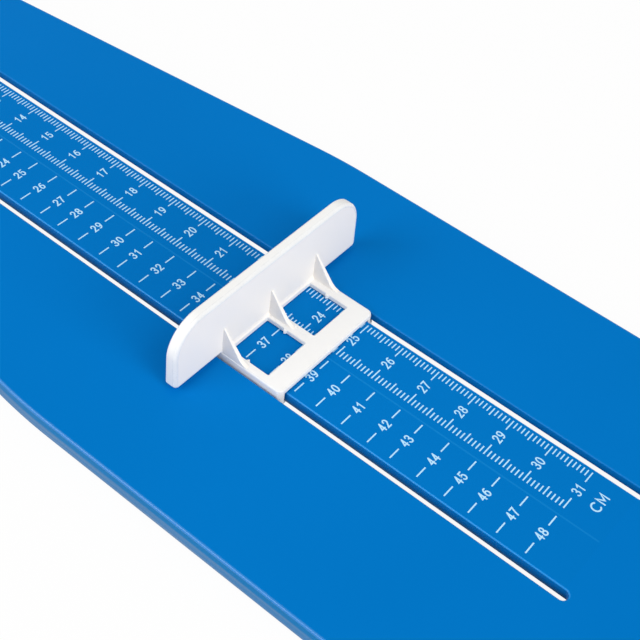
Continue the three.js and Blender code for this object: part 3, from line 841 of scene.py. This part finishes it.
def make_print():
    ink = Mesh()
    for mm in range(READING_MIN, READING_MAX + 1):
        x = at_scale(mm)
        inward, outward = next(ends for step, ends in TICK_ENDS.items() if mm % step == 0)
        ink.box(x - OUTER_TICK_HALF, x + OUTER_TICK_HALF, inward, OUTER_TICK, PRINT_LOW, PRINT_HIGH)
        ink.box(x - INNER_TICK_HALF, x + INNER_TICK_HALF, INNER_TICK, outward, PRINT_LOW, PRINT_HIGH)
        if mm % 10 == 0:
            write(ink, str(mm // 10), x, **CM_FIGURE)
    for size in SIZES:
        x = at_scale(size_reading(size))
        for start, end in SIZE_MARKS:
            ink.box(x - SIZE_MARK_HALF, x + SIZE_MARK_HALF, start, end, PRINT_LOW, PRINT_HIGH)
        write(ink, str(size), x, **SIZE_FIGURE)
    write(ink, "CM", at_scale(LETTERS_AT), **LETTER)
    scale = ink.build("scale_print", [INK])
    line = Mesh()
    line.box(at_scale(SLOT_START) + LINE_MARGINS[0], at_scale(SLOT_END) - LINE_MARGINS[1],
             *MIDDLE_LINE, PRINT_LOW, LINE_HIGH)
    middle = line.build("scale_middle_line", [INK_FAINT])
    skin = Mesh()
    skin.box(at_scale(SLOT_START) + SKIN_MARGINS[0], at_scale(SLOT_END) - SKIN_MARGINS[1],
             -STRIP_HALF + SKIN_SIDE_MARGIN, STRIP_HALF - SKIN_SIDE_MARGIN, PRINT_LOW, SKIN_HIGH)
    surface = skin.build("scale_strip_face", [BLUE_STRIP])
    for piece in (scale, middle, surface):
        settle(piece, "base")


make_print()


# Slider
def fence_ring(x, inset):
    radii = (FENCE_LOW_CORNER, FENCE_LOW_CORNER, FENCE_CORNER, FENCE_CORNER)
    out = []
    outline = rounded_rectangle(-FENCE_HALF, FENCE_HALF, WING_CLEARANCE, FENCE_HEIGHT, radii,
                                steps=20, inset=inset)
    for y, z in outline:
        rise = z / FENCE_HEIGHT
        depth = (x - SLIDER_BACK) * (1 - 2 * rise * FENCE_LEAN / FENCE_THICKNESS) + rise * FENCE_LEAN
        out.append((SLIDER_BACK + depth, y * (1 - rise * FENCE_END_LEAN / FENCE_HALF), BOARD_TOP + z))
    return out


def slider_fence():
    mesh = Mesh()
    back = [fence_ring(SLIDER_BACK + drop, inset) for inset, drop in reversed(arc(FENCE_BACK_EDGE, steps=6))]
    front = [fence_ring(FENCE_FRONT - drop, inset) for inset, drop in arc(FENCE_FRONT_EDGE, steps=9)]
    # Its rounded edges take the white with painted shade, and its front face the warmer white with painted
    # light
    mesh.rings(back, EDGE)
    mesh.rings([back[-1], front[0]])
    mesh.rings(front, EDGE)
    mesh.cap(back[0])
    mesh.cap(front[-1], FACE)
    mesh.box(SLIDER_BACK, FENCE_FRONT, -FRAME_HALF, FRAME_HALF, FRAME_BOTTOM,
             BOARD_TOP + WING_CLEARANCE + FENCE_FRONT_EDGE)
    return mesh.build("slider_fence", WHITES)


def slider_frame():
    flat = Mesh()
    plan = (SHARP, FRAME_CORNER, FRAME_CORNER, SHARP)

    def outer(inset, z):
        return lift(rounded_rectangle(SLIDER_BACK, SLIDER_FRONT, -FRAME_HALF, FRAME_HALF, plan,
                                      steps=10, inset=inset), z)
    edge = [(inset, FRAME_TOP - drop) for inset, drop in arc(FRAME_EDGE, steps=6)]
    flat.rings([outer(0, FRAME_BOTTOM), outer(*edge[0])])
    flat.rings([outer(inset, z) for inset, z in edge], EDGE)
    tops = [outer(edge[-1][0], FRAME_TOP)]
    lows = [outer(0, FRAME_BOTTOM)]
    x0 = FENCE_FRONT + WINDOW_LEDGE
    x1 = SLIDER_FRONT - FRONT_BAR
    for y0, y1 in (NEAR_WINDOW, FAR_WINDOW):
        def hole(grow, z, y0=y0, y1=y1):
            radii = (WINDOW_CORNER + grow,) * 4
            return lift(rounded_rectangle(x0 - grow, x1 + grow, y0 - grow, y1 + grow, radii, steps=4), z)
        lip = [(grow, FRAME_TOP - drop) for grow, drop in arc(WINDOW_EDGE, steps=4)]
        flat.rings([hole(0, FRAME_BOTTOM), hole(*lip[0])])
        flat.rings([hole(grow, z) for grow, z in lip], EDGE)
        tops.append(hole(WINDOW_EDGE, FRAME_TOP))
        lows.append(hole(0, FRAME_BOTTOM))
    flat.plate(tops)
    flat.plate(lows, up=False)
    return flat.build("slider_frame", WHITES)


# Gusset ribs between fence and frame, and the index points beside the windows
def slider_ribs():
    webs = Mesh()
    knee = (RIB_LENGTH * RIB_KNEE[0], RIB_HEIGHT * RIB_KNEE[1])
    sweep = (RIB_LENGTH * RIB_SWEEP[0], RIB_HEIGHT * RIB_SWEEP[1])
    curve = [knee] + bezier([knee, sweep, (RIB_LENGTH, 0.0)], steps=12)[1:]
    shares = [i / RIB_SLOPE_STEPS for i in range(RIB_SLOPE_STEPS)]
    slope = [(knee[0] * share, RIB_HEIGHT + (knee[1] - RIB_HEIGHT) * share) for share in shares]
    profile = [(-RIB_BACK_ROOT, -RIB_LOW_ROOT), (-RIB_BACK_ROOT, RIB_HEIGHT)]
    profile += slope + curve + [(RIB_LENGTH, -RIB_LOW_ROOT)]
    for y in (-RIB_SPACING, 0, RIB_SPACING):
        sides = []
        for side in (-1, 1):
            half = [side * (RIB - (RIB - RIB_TIP) * max(0, v) / RIB_HEIGHT) / 2 for u, v in profile]
            sides.append([(FENCE_FRONT + u, y + h, FRAME_TOP + v) for (u, v), h in zip(profile, half)])
        webs.solid(sides, FACE)
    tip_x = at_scale(READING_AT_REST)
    half = INDEX_WIDTH / 2
    for y, way in ((NEAR_WINDOW[0], 1), (NEAR_WINDOW[1], -1), (FAR_WINDOW[1], -1)):
        root = y - way * INDEX_ROOT
        tip = [(tip_x - half, root), (tip_x + half, root), (tip_x + half, y),
               (tip_x, y + way * INDEX_DEPTH), (tip_x - half, y)]
        webs.solid([lift(tip, FRAME_BOTTOM + HAIR), lift(tip, FRAME_TOP - INDEX_RECESS)])
    ribs = webs.build("slider_ribs", WHITES)
    return bake(bevel(ribs, RIB_EDGE, segments=2, angle=40, slot=EDGE))


def foot_fillet():
    fillet = Mesh()
    bend = (WINDOW_LEDGE * FILLET_BEND[0], FILLET * FILLET_BEND[1])
    round_off = bezier([(WINDOW_LEDGE, 0.0), bend, (0, FILLET)])
    section = [(-FILLET_ROOT, -FILLET_ROOT), (WINDOW_LEDGE, -FILLET_ROOT)]
    section += round_off + [(-FILLET_ROOT, FILLET)]
    ends = [[(FENCE_FRONT + u, y, FRAME_TOP + v) for u, v in section] for y in (-RIB_SPACING, RIB_SPACING)]
    fillet.solid(ends, FACE)
    return fillet.build("slider_fillet", WHITES)


def slider_legs():
    legs = Mesh()
    leg_end = KEEPER_TOP + SEAT_GAP
    barb_top = KEEPER_LOW - SEAT_GAP
    tip = barb_top - BARB_HEIGHT
    root = leg_end + TAB_ROOT
    section = [(LEG_INNER, root), (LEG_INNER, tip), (FRAME_HALF - BARB_LEAD, tip),
               (FRAME_HALF + BARB_REACH, barb_top - BARB_LEAD), (FRAME_HALF + BARB_REACH, barb_top),
               (FRAME_HALF, barb_top), (FRAME_HALF, root)]
    for side in (-1, 1):
        y0, y1 = sorted((side * LEG_INNER, side * FRAME_HALF))
        corners = (LEG_CORNER, LEG_INNER_CORNER)
        near, far = corners if side < 0 else reversed(corners)

        def ring(inset, z, y0=y0, y1=y1, radii=(SHARP, near, far, SHARP)):
            return lift(rounded_rectangle(SLIDER_BACK, SLIDER_FRONT, y0, y1, radii,
                                          steps=8, inset=inset), z)
        rings = [ring(LEG_EDGE, leg_end), ring(0, leg_end + LEG_EDGE), ring(0, FRAME_BOTTOM + LEG_WELD)]
        legs.rings(rings)
        legs.plate([rings[0]], up=False)
        legs.plate([rings[-1]])
        for start in (TAB_INSET, FRAME_LENGTH - TAB_INSET - TAB_LENGTH):
            x = SLIDER_BACK + start
            legs.solid([[(end, side * y, z) for y, z in section] for end in (x, x + TAB_LENGTH)])
    return legs.build("slider_legs", WHITES)


def make_slider():
    fence = slider_fence()
    plate = slider_frame()
    ribs = slider_ribs()
    fillet = foot_fillet()
    legs = slider_legs()
    slider = smooth(fuse(fence, [plate, fillet, ribs, legs]), sharp=34)
    slider.name = "slider_moulding"
    settle(slider, "slider")
    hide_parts("slider")


make_slider()

# The keeper stays as the CAD has it, in the slider's plastic
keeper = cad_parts["slider_keeper"]
for spot in keeper.material_slots:
    spot.material = WHITE


def make_feet():
    profile = [(FOOT_RADIUS - inset, z) for inset, z in FOOT_EDGE] + [(FOOT_RADIUS, FOOT_TOP)]
    for i, (x, y) in enumerate(foot_places()):
        mesh = Mesh()
        mesh.lathe(profile, x, y)
        foot = settle(smooth(mesh.build("rubber_pad_%d" % (i + 1), [RUBBER])), "base")
        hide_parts("rubber_foot_%d" % (i + 1))


make_feet()

# Stage, light and camera, in metres: both lamps at the toe end aim at one point
WORLD_LIGHT = 0.446
FLOOR_HALF = 6.0
FLOOR_GLOW = 0.94
TOE_AIM = (0.07, 0.0, 0.006)
WHITE_LIGHT = (1, 1, 1, 1)

# The camera as fitted to the ticks of the printed scale: its place in millimetres, its turns about x, y and z
# in degrees, and half a pixel as a share of the picture's width
CAMERA_PLACE = (184.0695, -152.8451, 217.7580)
CAMERA_TURNS = (42.12, -4.8547, 39.2977)
CAMERA_LENS = 70.655
HALF_PIXEL = 0.5 / 640


def make_stage():
    data = bpy.data.meshes.new("floor")
    s = FLOOR_HALF
    data.from_pydata([(-s, -s, 0), (s, -s, 0), (s, s, 0), (-s, s, 0)], [], [(0, 1, 2, 3)])
    floor = bpy.data.objects.new("floor", data)
    bpy.context.scene.collection.objects.link(floor)
    material, tree, shader = new_material("floor_white")
    shader.inputs["Base Color"].default_value = (0.86, 0.86, 0.86, 1)
    shader.inputs["Roughness"].default_value = 0.9
    shader.inputs["Specular IOR Level"].default_value = 0.0
    glow = tree.nodes.new("ShaderNodeEmission")
    glow.inputs["Color"].default_value = WHITE_LIGHT
    glow.inputs["Strength"].default_value = 1.0
    rays = tree.nodes.new("ShaderNodeLightPath").outputs
    share = tree.nodes.new("ShaderNodeMath")
    share.operation = "MULTIPLY"
    share.inputs[1].default_value = FLOOR_GLOW
    tree.links.new(combine(tree, "MAXIMUM", rays["Is Camera Ray"], rays["Is Glossy Ray"]), share.inputs[0])
    mix = tree.nodes.new("ShaderNodeMixShader")
    tree.links.new(share.outputs[0], mix.inputs["Fac"])
    tree.links.new(shader.outputs[0], mix.inputs[1])
    tree.links.new(glow.outputs[0], mix.inputs[2])
    tree.links.new(mix.outputs[0], tree.nodes["Material Output"].inputs["Surface"])
    data.materials.append(material)


def make_world():
    world = bpy.data.worlds.new("studio")
    world.use_nodes = True
    tree = world.node_tree
    light = tree.nodes["Background"]
    light.inputs["Color"].default_value = WHITE_LIGHT
    light.inputs["Strength"].default_value = WORLD_LIGHT
    white = tree.nodes.new("ShaderNodeBackground")
    white.inputs["Color"].default_value = WHITE_LIGHT
    white.inputs["Strength"].default_value = 1.0
    rays = tree.nodes.new("ShaderNodeLightPath").outputs
    seen = combine(tree, "MAXIMUM", rays["Is Camera Ray"], rays["Is Transmission Ray"])
    mix = tree.nodes.new("ShaderNodeMixShader")
    tree.links.new(combine(tree, "MAXIMUM", seen, rays["Is Glossy Ray"]), mix.inputs["Fac"])
    tree.links.new(light.outputs[0], mix.inputs[1])
    tree.links.new(white.outputs[0], mix.inputs[2])
    tree.links.new(mix.outputs[0], tree.nodes["World Output"].inputs["Surface"])
    bpy.context.scene.world = world


def area_lamp(name, aim, direction, distance, size, power, colour=(1, 1, 1)):
    data = bpy.data.lights.new(name, "AREA")
    data.shape = "SQUARE"
    data.size = size
    data.energy = power
    data.color = colour
    lamp = bpy.data.objects.new(name, data)
    way = Vector(direction).normalized()
    lamp.location = Vector(aim) + way * distance
    lamp.rotation_euler = way.to_track_quat("Z", "Y").to_euler()
    bpy.context.scene.collection.objects.link(lamp)


def make_camera():
    data = bpy.data.cameras.new("camera")
    data.sensor_width = 36.0
    data.lens = CAMERA_LENS
    data.shift_x = -HALF_PIXEL
    data.clip_start = 0.01
    data.clip_end = 20.0
    camera = bpy.data.objects.new("camera", data)
    camera.location = Vector(CAMERA_PLACE) * MM
    camera.rotation_euler = [math.radians(turn) for turn in CAMERA_TURNS]
    bpy.context.scene.collection.objects.link(camera)
    bpy.context.scene.camera = camera


make_stage()
make_world()
area_lamp("toe_low", TOE_AIM, (0.93, -0.1, 0.36), distance=2.6, size=1.2, power=27.2,
          colour=(1.0, 0.95, 0.87))
area_lamp("toe_high", TOE_AIM, (0.7, -0.2, 0.9), distance=2.6, size=1.2, power=19.8)
area_lamp("side", (0.05, -0.04, 0.006), (-0.376, -0.739, 0.559), distance=1.2, size=0.8, power=7.1)
make_camera()
bpy.context.scene.view_settings.view_transform = "Standard"
